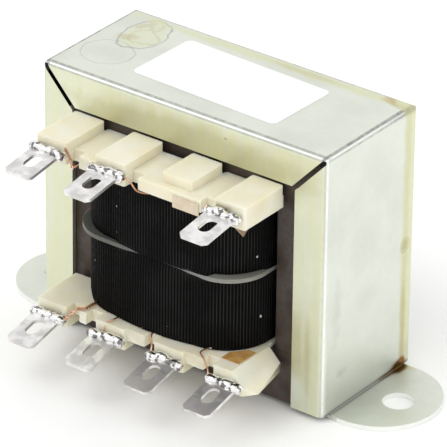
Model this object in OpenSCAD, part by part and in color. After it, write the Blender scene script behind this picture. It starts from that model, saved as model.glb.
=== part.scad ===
// Open-frame chassis transformer: a laminated iron core clamped in a bent steel channel
// bracket, with a coil wound in two sections on a moulded bobbin and seven solder lugs.
// The origin is on the mounting plane, midway between the two mounting holes.
// X runs along the mounting holes, the lugs face -Y and the coil's axis is Z.

/* [Core] */
// Width of the centre leg of the laminations, which sets the whole core
tongue = 16.2; // [14:0.1:18]
// Depth of the stack of laminations
stack = 20; // [17:0.1:23]
// Height of the core's underside above the mounting plane
core_lift = 0.65; // [0.5:0.05:2]

/* [Channel bracket] */
// Thickness of the bracket's steel sheet
sheet = 0.8; // [0.6:0.05:1]
// Inside radius of the bracket's bends
bend_inside = 0.2; // [0.1:0.05:0.5]
// Gap between the core and the inside of the bends
core_gap = 0.02; // [0.01:0.01:0.1]
// Width of the flange along the top edge
top_flange = 5.9; // [4.5:0.1:6.2]
// Width of the flanges down the sides
side_flange = 5.5; // [4:0.1:5.8]
// Gap between the flanges at their mitred corners
mitre_gap = 0.65; // [0.3:0.05:1]
// Height of the side flanges' feet above the mounting plane
flange_lift = 0.8; // [0.5:0.1:1]

/* [Mounting ears] */
// Distance between the two mounting holes
hole_span = 61.5; // [58:0.5:66]
// Diameter of the mounting holes
hole_d = 4.76; // [3:0.02:6]
// Radius of the rounded end of an ear
ear_r = 9.14; // [7:0.02:9.5]
// Distance from a mounting hole inwards to the centre of the ear's round end
ear_inset = 3.3; // [1:0.1:4]

/* [Bobbin] */
// Clearance between the centre leg and the bobbin's tube
tube_fit = 0.2; // [0.1:0.05:0.4]
// Wall of the bobbin's tube
tube_wall = 0.9; // [0.6:0.1:1.2]
// Thickness of the end flanges and the flange between the sections
flange_t = 0.6; // [0.5:0.05:1]
// Clearance between an end flange and the core's window
flange_fit = 0.05; // [0.03:0.01:0.2]
// Clearance between the flanges' edges and the outer legs
flange_side_fit = 0.7; // [0.3:0.05:1]
// Depth of the flanges from front to back
flange_d = 36; // [35:0.1:40]
// Corner radius of the flanges
flange_r = 6.4; // [2:0.1:8]
// Height of the middle flange's underside above the window's centre
mid_rise = 0.2; // [-2:0.1:2]

/* [Terminal boards] */
// Thickness of a terminal board
board_t = 1.9; // [1.5:0.1:2.4]
// Distance of a board's front edge in front of the flanges
board_reach = 1.4; // [0.7:0.1:2.5]
// Height of a lug block, measured through the board
block_h = 3.4; // [3:0.1:3.6]
// Width of a lug block
block_w = 5.3; // [5:0.1:6]
// Distance from one lug block to the next
block_pitch = 10.5; // [9.5:0.1:10.6]
// Radius of a lug block's upright edges
block_r = 0.4; // [0.2:0.1:1]
// Distance that the blocks with lugs stand out from the board's front edge
block_nose = 0.5; // [0.2:0.1:1]
// Distance of the front of the block without a lug behind the board's front edge
bare_setback = 1.3; // [0.3:0.1:2]
// Distance of the blocks' backs in front of the stack's face
block_gap = 0.9; // [0.8:0.05:1.6]
// Sideways offset of the terminal boards from the core's centre
board_shift = -0.6; // [-0.8:0.1:0.5]
// Gap between the lobes that reach back from a board and the stack's face
lobe_gap = 0.2; // [0.1:0.05:0.3]
// Corner radius of the lobes
lobe_r = 0.4; // [0.2:0.05:0.45]
// Distance that the lower board's right end reaches out beyond its last block
end_reach = 1.4; // [0.4:0.1:1.7]
// Width of the notch beside a lug block that lets a lead pass
notch_w = 2; // [1.2:0.1:2.4]
// Depth of the notch beside a lug block
notch_d = 1.5; // [1:0.1:2]

/* [Coil] */
// Distance of the coil's front and back behind the flanges' edges, where they start to bow out
coil_back = 0.3; // [0.2:0.1:1.1]
// Height of the bow in the coil's front and back faces
coil_bow = 0.8; // [0.4:0.1:1]
// Corner radius of the coil
coil_r = 8; // [5:0.1:9]
// Distance of the coil's sides from the flanges' edges
coil_side = 0.3; // [0.2:0.05:1]
// Thickness of the tape wound round each section
tape_t = 0.4; // [0.2:0.05:0.6]
// Gap between the windings, the tape and the flanges
wind_gap = 0.1; // [0.05:0.05:0.2]
// Height left free between a winding and its terminal board for the leads
lead_gap = 0.7; // [0.6:0.1:1.2]

/* [Lugs and leads] */
// Thickness of a lug
lug_t = 0.5; // [0.4:0.05:0.8]
// Width of a lug's blade
lug_w = 4.75; // [4:0.05:5.2]
// Width of the lug's tail inside its block
lug_tail_w = 3.4; // [2.5:0.1:3.6]
// Length of the lug's tail inside its block
lug_tail = 5; // [3:0.1:7]
// Length of the blade from its bend to its tip
lug_len = 7.4; // [6.8:0.1:9]
// Width of a lug's foot, round which the lead is wound
foot_w = 5.4; // [4.8:0.1:5.4]
// Length of a lug's foot
foot_len = 1.1; // [0.8:0.1:1.6]
// Height of a lug above the middle of its block
lug_offset = 0.1; // [0:0.05:0.3]
// Cut across the corners of a lug's tip
lug_chamfer = 0.6; // [0.3:0.1:1.2]
// Width of the slot in a lug
slot_w = 1.9; // [1.2:0.1:2.2]
// Length of the slot in a lug
slot_len = 3.3; // [2.6:0.1:3.6]
// Distance of the slot's centre from the lug's tip
slot_back = 3.9; // [3.5:0.1:4.2]
// Clearance round a lug's tail in its block
tail_fit = 0.05; // [0.03:0.01:0.1]
// Sideways offset of the upper right lug from the middle of its block
right_shift = -0.7; // [-0.7:0.1:0.4]
// Downward slope of the upper lugs
upper_droop = 8; // [0:1:14]
// Downward slope of the lower lugs
lower_droop = 13; // [0:1:14]
// Diameter of the winding leads
lead_d = 0.36; // [0.2:0.02:0.5]
// Least distance of a lead's inner end from the coil's side
lead_inset = 2; // [1:0.1:4]
// Radius of the solder at the foot of a lug
solder_r = 1.15; // [0.8:0.05:1.3]

/* [Label and insulation] */
// Length of the paper label on the top
label_l = 25.8; // [20:0.2:30]
// Width of the paper label
label_w = 13.1; // [9:0.1:15]
// Corner radius of the label
label_r = 1; // [0.3:0.1:2]
// Thickness of the label
label_t = 0.1; // [0.06:0.02:0.2]
// Sideways offset of the label from the middle of the top
label_x = 0.3; // [-3:0.1:3]
// Offset of the label towards the back
label_y = 0.1; // [-2:0.1:2]
// Turn of the label on the bracket
label_turn = -2; // [-4:1:4]
// Thickness of the insulating film
film_t = 0.15; // [0.1:0.05:0.3]
// Distance that the strip on the upper board hangs below it
strip_drop = 0.6; // [0.2:0.1:1.2]
// Width of the loose corner of film that hangs under the upper board
tab_w = 3; // [2:0.1:4.5]
// Distance that the loose corner hangs down
tab_drop = 1.4; // [0.8:0.1:3]
// Width of the film on the lower board at the coil's corner
film_w = 3; // [1:0.1:4]

/* [Hidden] */
$fn = 64;
// Overshoot of the cuts
cut = 1;

// Core, after the proportions of scrapless laminations
leg_w = tongue / 2;
core_w = 3 * tongue;
core_h = 2.5 * tongue;
win_low = core_lift + leg_w;
win_high = core_lift + core_h - leg_w;
win_mid = (win_low + win_high) / 2;
leg_inner = tongue / 2;
leg_outer = tongue;
stack_face = stack / 2;

// Bracket: the core keeps clear of the round inside of the bends
core_fit = (1 - sqrt(0.5)) * bend_inside + core_gap;
bend_r = bend_inside + sheet;
frame_w = core_w + 2 * (core_fit + sheet);
frame_d = stack + 2 * (core_fit + sheet);
frame_h = core_lift + core_h + core_fit + sheet;
ear_x = hole_span / 2 - ear_inset;
ear_bend_x = frame_w / 2 + bend_inside;
ear_bend_z = sheet + bend_inside;

// Bobbin
tube_w = tongue + 2 * tube_fit;
tube_d = stack + 2 * tube_fit;
flange_w = 2 * (leg_outer - flange_side_fit);
low_face = win_low + flange_fit + flange_t;
high_face = win_high - flange_fit - flange_t;
mid_low = win_mid + mid_rise;
mid_high = mid_low + flange_t;

// Terminal boards
block_x = [for (i = [-1.5:1:1.5]) i * block_pitch + board_shift];
board_w = 3 * block_pitch + block_w;
board_front = flange_d / 2 + board_reach;
block_front = board_front + block_nose;
bare_front = board_front - bare_setback;
block_back = stack_face + block_gap;
lobe_back = stack_face + lobe_gap;
end_x = block_x[3] + block_w / 2 + end_reach;

// Coil
coil_w = flange_w - 2 * coil_side;
coil_d = flange_d - 2 * coil_back;
wind_inset = tape_t + wind_gap;

// Lugs: each row gives its board (1 upper, -1 lower), its place and the side its lead leaves
LUGS = [[1, 0, 1], [1, 1, 1], [1, 3, -1], [-1, 0, 1], [-1, 1, -1], [-1, 2, -1], [-1, 3, -1]];
LUG_NAMES = [
    "upper_lug_left", "upper_lug_centre", "upper_lug_right",
    "lower_lug_1", "lower_lug_2", "lower_lug_3", "lower_lug_4"];
SOLDER_NAMES = [
    "upper_solder_left", "upper_solder_centre", "upper_solder_right",
    "lower_solder_1", "lower_solder_2", "lower_solder_3", "lower_solder_4"];
LEAD_NAMES = [
    "upper_lead_left", "upper_lead_centre", "upper_lead_right",
    "lower_lead_1", "lower_lead_2", "lower_lead_3", "lower_lead_4"];
lug_rise = block_h / 2 + lug_offset;
lug_bend = block_front + lug_t;
// Each lump of solder is three balls in a row, the outer ones smaller
solder_out = 0.6 * solder_r;
solder_taper = 0.12;

function lug_x(lug) = block_x[lug[1]] + (lug == LUGS[2] ? right_shift : 0);
function lug_droop(lug) = lug[0] > 0 ? upper_droop : lower_droop;
function board_face(board) = board > 0 ? high_face : low_face;
function lug_z(lug) = board_face(lug[0]) + lug[0] * lug_rise;
function lead_x(lug) = lug_x(lug) + lug[2] * (block_w + notch_w) / 2;
function coil_x(lug) = let(reach = coil_w / 2 - lead_inset) max(-reach, min(reach, lead_x(lug)));

// Depth of the coil's outline at a distance x from its centre
function coil_bow_r() = (pow(coil_w / 2 - coil_r, 2) + coil_bow * coil_bow) / (2 * coil_bow);
function coil_edge(x) =
    abs(x) < coil_w / 2 - coil_r
        ? coil_d / 2 + coil_bow - coil_bow_r() + sqrt(pow(coil_bow_r(), 2) - x * x)
        : coil_d / 2 - coil_r + sqrt(pow(coil_r, 2) - pow(abs(x) - coil_w / 2 + coil_r, 2));

module rounded_rect(w, d, r) {
    square([w - 2 * r, d], center = true);
    square([w, d - 2 * r], center = true);
    for (x = [-1, 1], y = [-1, 1]) translate([x * (w / 2 - r), y * (d / 2 - r)]) circle(r);
}

// Upright outline with round upper corners
module arch(w, h, r) {
    translate([-w / 2, 0]) square([w, h - r]);
    translate([-w / 2 + r, 0]) square([w - 2 * r, h]);
    for (x = [-1, 1]) translate([x * (w / 2 - r), h - r]) circle(r);
}

// Block with round upright edges and round top edges
module bent_block(w, d, h, r) {
    intersection() {
        linear_extrude(h) rounded_rect(w, d, r);
        rotate([90, 0, 0]) linear_extrude(d + cut, center = true) arch(w, h, r);
        rotate([90, 0, 90]) linear_extrude(w + cut, center = true) arch(d, h, r);
    }
}

// Bracket: one strip of sheet steel, flanged along both edges and bent down over the core
module channel_shell() {
    window_x = frame_w / 2 - side_flange;
    window_z = frame_h - top_flange;
    mitre_angle = atan2(top_flange - bend_r, side_flange - bend_r);
    mitre_len = norm([top_flange - bend_r, side_flange - bend_r]) - sheet / 2;
    difference() {
        bent_block(frame_w, frame_d, frame_h, bend_r);
        translate([0, 0, -cut])
            bent_block(frame_w - 2 * sheet, frame_d - 2 * sheet, frame_h - sheet + cut, bend_inside);
        translate([-window_x, -frame_d / 2 - cut, -cut])
            cube([2 * window_x, frame_d + 2 * cut, window_z + cut]);
        for (x = [-1, 1], y = [-1, 1])
            translate([x * window_x, y * (frame_d / 2), window_z])
                rotate([0, x > 0 ? -mitre_angle : mitre_angle - 180, 0])
                    translate([-cut, -sheet, -mitre_gap / 2])
                        cube([mitre_len + cut, 2 * sheet, mitre_gap]);
        translate([-frame_w / 2 - cut, -frame_d / 2 - cut, -cut])
            cube([frame_w + 2 * cut, frame_d + 2 * cut, flange_lift + cut]);
        translate([-frame_w / 2 - cut, -ear_r, -cut])
            cube([frame_w + 2 * cut, 2 * ear_r, ear_bend_z + cut]);
    }
}

// Foot of one side: the sheet turns outwards into a round ear with a mounting hole
module ear() {
    rotate([90, 0, 0])
        linear_extrude(2 * ear_r, center = true)
            translate([ear_bend_x, ear_bend_z])
                intersection() {
                    difference() {
                        circle(bend_r);
                        circle(bend_inside);
                    }
                    translate([-bend_r, -bend_r]) square(bend_r);
                }
    difference() {
        linear_extrude(sheet)
            intersection() {
                union() {
                    translate([ear_x, 0]) circle(ear_r);
                    translate([ear_bend_x, -ear_r]) square([ear_x - ear_bend_x, 2 * ear_r]);
                }
                translate([ear_bend_x, -ear_r]) square([ear_x + ear_r, 2 * ear_r]);
            }
        translate([hole_span / 2, 0, -cut]) cylinder(d = hole_d, h = sheet + 2 * cut);
    }
}

module channel_frame() {
    color([0.80, 0.82, 0.77]) {
        channel_shell();
        ear();
        mirror([1, 0, 0]) ear();
    }
}

// Stack of E laminations, with its yoke at the top
module e_laminations() {
    color([0.29, 0.26, 0.25])
        difference() {
            translate([-core_w / 2, -stack_face, win_low])
                cube([core_w, stack, core_h - leg_w]);
            for (x = [-leg_outer, leg_inner])
                translate([x, -stack_face - cut, win_low - cut])
                    cube([leg_outer - leg_inner, stack + 2 * cut, win_high - win_low + cut]);
        }
}

// Stack of I laminations, which closes the legs at the bottom
module i_laminations() {
    color([0.29, 0.26, 0.25])
        translate([-core_w / 2, -stack_face, core_lift]) cube([core_w, stack, leg_w]);
}

// Outline of a terminal board: between the outer blocks it reaches back to the core
module board_outline() {
    translate([board_shift - board_w / 2, -board_front])
        square([board_w, board_front - block_back]);
    for (i = [0, 2])
        translate([(block_x[i] + block_x[i + 1]) / 2, -block_back])
            rounded_rect(block_pitch - block_w, 2 * (block_back - lobe_back), lobe_r);
}

// Lug block: the one that has no lug stands back from the board's front edge
module lug_block(i, has_lug) {
    front = has_lug ? block_front : bare_front;
    translate([block_x[i], -(front + block_back) / 2])
        linear_extrude(block_h) rounded_rect(block_w, front - block_back, block_r);
}

// Terminal board drawn above its inner face, as the upper one lies
module terminal_board(board) {
    places = [for (lug = LUGS) if (lug[0] == board) lug[1]];
    linear_extrude(board_t) board_outline();
    for (i = [0:3]) lug_block(i, len(search(i, places)) > 0);
}

// Right end of the lower board, which is trimmed to a slope
module board_end() {
    translate([0, 0, low_face - block_h])
        linear_extrude(block_h)
            polygon([
                [block_x[3], -block_back], [block_x[3], -block_front], [end_x - end_reach, -block_front],
                [end_x, -board_front + end_reach], [end_x - end_reach, -block_back]]);
}

// Cut of 45 degrees that runs down to the lower edge of the board's end
module end_slope() {
    translate([end_x, -2 * block_front, low_face - block_h])
        rotate([0, -45, 0])
            translate([0, 0, -2 * block_h])
                cube([2 * block_h, 2 * block_front, 4 * block_h]);
}

module bobbin_flange(z) {
    translate([0, 0, z]) linear_extrude(flange_t) rounded_rect(flange_w, flange_d, flange_r);
}

// Bobbin: a square tube with three flanges and the two terminal boards, moulded in one
module bobbin() {
    color([0.90, 0.88, 0.78])
        difference() {
            union() {
                translate([-tube_w / 2 - tube_wall, -tube_d / 2 - tube_wall, win_low + flange_fit])
                    cube([tube_w + 2 * tube_wall, tube_d + 2 * tube_wall,
                          win_high - win_low - 2 * flange_fit]);
                bobbin_flange(win_low + flange_fit);
                bobbin_flange(mid_low);
                bobbin_flange(high_face);
                translate([0, 0, high_face]) terminal_board(1);
                translate([0, 0, low_face]) mirror([0, 0, 1]) terminal_board(-1);
                board_end();
            }
            translate([-tube_w / 2, -tube_d / 2, win_low])
                cube([tube_w, tube_d, win_high - win_low]);
            for (lug = LUGS)
                translate([lug_x(lug), -block_front, lug_z(lug)])
                    translate([-lug_tail_w / 2 - tail_fit, -cut, -lug_t / 2 - tail_fit])
                        cube([lug_tail_w + 2 * tail_fit, lug_tail + tail_fit + cut, lug_t + 2 * tail_fit]);
            for (lug = LUGS)
                translate([lead_x(lug) - notch_w / 2, -board_front - cut, board_face(lug[0]) - block_h])
                    cube([notch_w, notch_d + cut, 2 * block_h]);
            end_slope();
        }
}

// Outline of the coil, with flat sides, round corners and bowed front and back
module coil_outline(inset) {
    w = coil_w - 2 * inset;
    d = coil_d - 2 * inset;
    r = coil_r - inset;
    rounded_rect(w, d, r);
    for (y = [-1, 1])
        intersection() {
            translate([0, y * (d / 2 + coil_bow - coil_bow_r())]) circle(coil_bow_r(), $fn = 180);
            translate([r - w / 2, y > 0 ? 0 : -d]) square([w - 2 * r, d]);
        }
}

// Enamelled copper wound in one section of the bobbin
module winding(z_low, z_high) {
    translate([0, 0, z_low])
        linear_extrude(z_high - z_low)
            difference() {
                coil_outline(wind_inset);
                square([tube_w + 2 * (tube_wall + wind_gap), tube_d + 2 * (tube_wall + wind_gap)],
                       center = true);
            }
}

// Band of tape wound round one section, lifted where a lead comes out under its edge
module tape_wrap(z_low, z_high, board) {
    color([0.08, 0.08, 0.085])
        difference() {
            translate([0, 0, z_low])
                linear_extrude(z_high - z_low)
                    difference() {
                        coil_outline(0);
                        coil_outline(tape_t);
                    }
            for (lug = LUGS)
                if (lug[0] == board)
                    translate([min(lead_x(lug), coil_x(lug)) - lead_d, -coil_d,
                               board_face(board) - lead_gap])
                        cube([abs(lead_x(lug) - coil_x(lug)) + 2 * lead_d, coil_d, 2 * lead_gap]);
        }
}

module upper_winding() {
    color([0.72, 0.43, 0.27]) winding(mid_high + wind_gap, high_face - lead_gap);
}

module lower_winding() {
    color([0.72, 0.43, 0.27]) winding(low_face + lead_gap, mid_low - wind_gap);
}

module upper_tape_wrap() {
    tape_wrap(mid_high + wind_gap, high_face - wind_gap, 1);
}

module lower_tape_wrap() {
    tape_wrap(low_face + wind_gap, mid_low - wind_gap, -1);
}

// Blade of a lug: a flat tab with a wide foot, clipped corners and a long slot
module lug_blade() {
    right = [
        [foot_w / 2, 0], [foot_w / 2, -foot_len], [lug_w / 2, -foot_len],
        [lug_w / 2, lug_chamfer - lug_len], [lug_w / 2 - lug_chamfer, -lug_len]];
    left = [for (i = [len(right) - 1:-1:0]) [-right[i].x, right[i].y]];
    linear_extrude(lug_t, center = true)
        difference() {
            polygon(concat(right, left));
            for (y = [-1, 1])
                translate([0, slot_back - lug_len + y * (slot_len - slot_w) / 2]) circle(d = slot_w);
            translate([0, slot_back - lug_len]) square([slot_w, slot_len - slot_w], center = true);
        }
}

// Tinned lug: its tail is pressed into the block, and its blade slopes down outside it
module lug_body(lug) {
    translate([lug_x(lug), -lug_bend, lug_z(lug)]) {
        translate([-lug_tail_w / 2, 0, -lug_t / 2])
            cube([lug_tail_w, lug_bend - block_front + lug_tail, lug_t]);
        rotate([0, 90, 0]) cylinder(d = lug_t, h = foot_w, center = true);
        rotate([lug_droop(lug), 0, 0]) lug_blade();
    }
}

// Lump of solder over the foot of a lug, flat where it meets the blade and the block
module solder_joint(lug) {
    color([0.86, 0.86, 0.85])
        difference() {
            translate([lug_x(lug), -lug_bend, lug_z(lug)])
                rotate([lug_droop(lug), 0, 0])
                    difference() {
                        for (x = [-1, 0, 1])
                            translate([x * solder_r, -solder_out, lug_t / 2])
                                sphere(solder_r * (1 - solder_taper * abs(x)));
                        translate([-lug_w, -lug_len, lug_t / 2 - 2 * solder_r])
                            cube([2 * lug_w, 2 * lug_len, 2 * solder_r]);
                    }
            translate([lug_x(lug) - block_w, -block_front - tail_fit, lug_z(lug) - block_h])
                cube([2 * block_w, block_front, 2 * block_h]);
        }
}

// Points of a winding lead, from the solder through its notch to the coil
function lead_points(lug) =
    let(x = lead_x(lug), side = lug[2], up = lug[0], face = board_face(up),
        foot_x = lug_x(lug) + side * (2 * solder_r + lead_d),
        notch_y = board_front - notch_d + lead_d,
        coil_y = coil_edge(coil_x(lug)) - tape_t - lead_d / 2,
        under = face - up * lead_gap / 2)
    [[foot_x, -lug_bend - solder_out, lug_z(lug) + lug_t],
     [x, -block_front, lug_z(lug)],
     [x, -notch_y - lead_d, face + up * board_t / 2],
     [x, -notch_y, face],
     [x, -notch_y + lead_d, under],
     [coil_x(lug), -coil_y, under]];

// Round tube through a list of points
module tube_along(points, d, sides = 8) {
    last = len(points) - 1;
    function unit(v) = v / norm(v);
    function heading(i) =
        unit(points[min(i + 1, last)] - points[max(i - 1, 0)]);
    rings = [for (i = [0:last])
        let(t = heading(i), u = unit(cross(t, [0.31, 0.17, 0.93])), v = cross(t, u))
        for (k = [0:sides - 1])
            points[i] + d / 2 * (cos(360 * k / sides) * u + sin(360 * k / sides) * v)];
    walls = [for (i = [0:last - 1], k = [0:sides - 1])
        let(a = i * sides + k, b = i * sides + (k + 1) % sides)
        each [[a, a + sides, b], [b, a + sides, b + sides]]];
    ends = [[for (k = [0:sides - 1]) k], [for (k = [sides - 1:-1:0]) last * sides + k]];
    polyhedron(rings, concat(walls, ends));
}

module paper_label() {
    color([0.97, 0.97, 0.96])
        translate([label_x, label_y, frame_h])
            rotate([0, 0, label_turn])
                linear_extrude(label_t) rounded_rect(label_l, label_w, label_r);
}

// Strip of insulation stuck to the front edge of the upper board
module board_strip() {
    left = block_x[2] + 2 * film_t;
    right = lead_x(LUGS[2]) - notch_w / 2 - 2 * film_t;
    color([0.87, 0.76, 0.62])
        translate([left, -board_front - film_t, high_face - strip_drop])
            cube([right - left, film_t, board_t]);
}

// Loose corner of amber film that hangs under the upper board's right end
module insulation_tab() {
    color([0.62, 0.47, 0.30])
        translate([block_x[3] + block_w / 2 - tab_w, -board_front + 2 * film_t, high_face])
            rotate([90, 0, 0])
                linear_extrude(film_t)
                    polygon([[0, 0], [tab_w, 0], [3 * tab_w / 4, -tab_drop]]);
}

// Amber film on the lower board, along the coil's right corner
module lead_film() {
    color([0.68, 0.50, 0.28])
        translate([0, 0, low_face])
            linear_extrude(film_t)
                difference() {
                    translate([flange_w / 2 - film_w, -coil_d / 2]) square([film_w, coil_r / 2]);
                    coil_outline(-wind_gap);
                }
}

channel_frame();
e_laminations();
i_laminations();
bobbin();
upper_winding();
lower_winding();
upper_tape_wrap();
lower_tape_wrap();
for (i = [0:len(LUGS) - 1]) {
    color([0.82, 0.81, 0.80]) lug_body(LUGS[i]);
    solder_joint(LUGS[i]);
    color([0.78, 0.50, 0.33]) tube_along(lead_points(LUGS[i]), lead_d);
}
paper_label();
board_strip();
insulation_tab();
lead_film();
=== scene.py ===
# A small open-frame mains transformer, in the order in which it is put together: the bobbin, the coil
# with its tape, the lugs with their leads and solder, the iron core, and last the bracket and its label.
import math

import bmesh
import bpy
from mathutils import Matrix, Vector, noise


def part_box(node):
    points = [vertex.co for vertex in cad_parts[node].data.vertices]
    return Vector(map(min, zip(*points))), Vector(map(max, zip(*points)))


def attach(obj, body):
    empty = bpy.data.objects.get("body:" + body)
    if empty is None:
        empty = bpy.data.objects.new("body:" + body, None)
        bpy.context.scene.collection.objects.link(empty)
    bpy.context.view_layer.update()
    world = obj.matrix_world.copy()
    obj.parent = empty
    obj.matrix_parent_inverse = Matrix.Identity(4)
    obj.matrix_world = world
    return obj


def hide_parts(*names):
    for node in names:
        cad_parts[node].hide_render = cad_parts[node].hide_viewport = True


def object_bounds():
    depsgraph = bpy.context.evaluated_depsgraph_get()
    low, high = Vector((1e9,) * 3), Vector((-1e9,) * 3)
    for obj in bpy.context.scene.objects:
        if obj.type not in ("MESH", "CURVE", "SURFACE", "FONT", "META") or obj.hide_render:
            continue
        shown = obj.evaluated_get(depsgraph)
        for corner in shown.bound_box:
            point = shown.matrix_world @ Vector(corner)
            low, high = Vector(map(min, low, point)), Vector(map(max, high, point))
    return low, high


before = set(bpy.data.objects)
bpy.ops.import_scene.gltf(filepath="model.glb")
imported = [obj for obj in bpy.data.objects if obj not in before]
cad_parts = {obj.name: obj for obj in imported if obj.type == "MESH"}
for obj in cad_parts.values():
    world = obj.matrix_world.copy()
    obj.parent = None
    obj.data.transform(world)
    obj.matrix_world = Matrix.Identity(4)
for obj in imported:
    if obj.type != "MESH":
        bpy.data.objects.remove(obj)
cad_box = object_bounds()

# Bobbin
# One moulding in unfilled nylon, cream and slightly see-through: a square tube with three thin flanges and
# two terminal boards with blocks for the lugs. The black coil shows through the thin middle flange.
MM = 0.001
BOBBIN_EDGE = 0.16 * MM
SAME_POINT = 0.0005 * MM
SAME_EDGE = 0.004 * MM
FLAT_ANGLE = 0.3
SHARP_ANGLE = 35
SMOOTH_ANGLE = 32
EDGE_STEPS = 2
SPECKLES_PER_PATCH = 9.0
NYLON_PALE = (0.800, 0.775, 0.645, 1)
NYLON_WARM = (0.760, 0.710, 0.540, 1)
NYLON_OVER_BLACK = (0.215, 0.218, 0.200, 1)
NYLON_SHADED = (0.085, 0.088, 0.080, 1)
NYLON_DEPTH = 1.6 * MM
NYLON_PATCH = 5 * MM
NYLON_GRAIN = 0.02 * MM
SHADE_LEFT = -8 * MM
SHADE_RIGHT = 10 * MM


def add(tree, kind, inputs=None, **settings):
    """Adds a node to a tree. Inputs are sockets to link from, or plain values."""
    node = tree.nodes.new(kind)
    for key, value in settings.items():
        setattr(node, key, value)
    for key, value in (inputs or {}).items():
        if isinstance(value, bpy.types.NodeSocket):
            tree.links.new(value, node.inputs[key])
        else:
            node.inputs[key].default_value = value
    return node


def math_node(tree, operation, *values):
    """Adds a Math node on sockets or numbers and gives its output."""
    return add(tree, "ShaderNodeMath", dict(enumerate(values)), operation=operation).outputs[0]


def blend_colour(tree, factor, first, second):
    """Mixes two colours by a mask and gives the mixed colour."""
    return add(tree, "ShaderNodeMix", {0: factor, 6: first, 7: second}, data_type="RGBA").outputs[2]


def ramp(tree, value, low, high, to_low=0.0, to_high=1.0):
    """Maps a range of a value to another one, smoothly and without overshoot."""
    steps = {"Value": value, 1: low, 2: high, 3: to_low, 4: to_high}
    return add(tree, "ShaderNodeMapRange", steps, interpolation_type="SMOOTHSTEP").outputs[0]


def new_group(name, inputs, outputs):
    """Starts a shader group with named sockets, and gives its tree, its inputs and its output node."""
    tree = bpy.data.node_groups.new(name, "ShaderNodeTree")
    for label, kind in inputs:
        tree.interface.new_socket(label, in_out="INPUT", socket_type=kind)
    for label in outputs:
        tree.interface.new_socket(label, in_out="OUTPUT", socket_type="NodeSocketFloat")
    return tree, add(tree, "NodeGroupInput").outputs, add(tree, "NodeGroupOutput").inputs


# Cloudy mottle: soft patches with finer speckle inside them
grain, given, result = new_group(
    "Mottle", [("Position", "NodeSocketVector"), ("Patch size", "NodeSocketFloat")], ["Patches", "Speckle"])
patch_scale = math_node(grain, "DIVIDE", 1.0, given["Patch size"])
patches = add(grain, "ShaderNodeTexNoise",
              {"Vector": given["Position"], "Scale": patch_scale, "Detail": 4.0})
speckle_scale = math_node(grain, "MULTIPLY", patch_scale, SPECKLES_PER_PATCH)
speckle = add(grain, "ShaderNodeTexNoise",
              {"Vector": given["Position"], "Scale": speckle_scale, "Detail": 3.0})
grain.links.new(ramp(grain, patches.outputs["Fac"], 0.35, 0.65), result["Patches"])
grain.links.new(ramp(grain, speckle.outputs["Fac"], 0.3, 0.7), result["Speckle"])


def mottle(tree, position, size):
    """Places the cloudy mottle in a material and gives its outputs."""
    node = add(tree, "ShaderNodeGroup", node_tree=grain)
    tree.links.new(position, node.inputs["Position"])
    node.inputs["Patch size"].default_value = size
    return node.outputs


def new_material(name, **constants):
    """Starts a material, and gives it with its tree, its shader and its object coordinates."""
    material = bpy.data.materials.new(name)
    material.use_nodes = True
    tree = material.node_tree
    shader = tree.nodes["Principled BSDF"]
    for label, value in constants.items():
        shader.inputs[label.replace("_", " ")].default_value = value
    return material, tree, shader, add(tree, "ShaderNodeTexCoord").outputs["Object"]


def bump(tree, shader, height, depth, strength=1.0):
    """Gives a shader a fine relief, with the depth in metres."""
    relief = {"Height": height, "Distance": depth, "Strength": strength}
    tree.links.new(add(tree, "ShaderNodeBump", relief).outputs["Normal"], shader.inputs["Normal"])


def new_piece(name, mesh, material, node):
    """Makes a finished piece from a mesh: it rides on the body and stands for its node."""
    mesh.materials.clear()
    mesh.materials.append(material)
    piece = bpy.data.objects.new(name, mesh)
    bpy.context.scene.collection.objects.link(piece)
    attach(piece, "root")
    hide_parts(node)


def smooth_faces(mesh, angle=SMOOTH_ANGLE):
    """Shades a mesh smooth, but for edges sharper than an angle in degrees."""
    mesh.shade_smooth()
    mesh.set_sharp_from_angle(angle=math.radians(angle))


def evened(mesh):
    """Gives a mesh with the shading of its flat faces kept flat beside rounded edges."""
    holder = bpy.data.objects.new("evening", mesh)
    bpy.context.scene.collection.objects.link(holder)
    holder.modifiers.new("Even normals", "WEIGHTED_NORMAL").keep_sharp = True
    graph = bpy.context.evaluated_depsgraph_get()
    result = bpy.data.meshes.new_from_object(holder.evaluated_get(graph))
    bpy.data.objects.remove(holder)
    return result


def softened(node, radius):
    """Copies a node's mesh, joins its flat faces and rounds its sharp edges as far as they have room."""
    solid = bmesh.new()
    solid.from_mesh(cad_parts[node].data)
    bmesh.ops.remove_doubles(solid, verts=solid.verts[:], dist=SAME_POINT)
    bmesh.ops.dissolve_limit(
        solid, angle_limit=math.radians(FLAT_ANGLE), verts=solid.verts[:], edges=solid.edges[:])
    sharp = [edge for edge in solid.edges
             if len(edge.link_faces) == 2 and edge.calc_face_angle() > math.radians(SHARP_ANGLE)]
    bmesh.ops.bevel(solid, geom=sharp, offset=radius, offset_type="OFFSET", segments=EDGE_STEPS,
                    profile=0.5, affect="EDGES", clamp_overlap=True)
    bmesh.ops.remove_doubles(solid, verts=solid.verts[:], dist=SAME_EDGE)
    mesh = bpy.data.meshes.new(node)
    solid.to_mesh(mesh)
    solid.free()
    smooth_faces(mesh)
    return evened(mesh)


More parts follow.
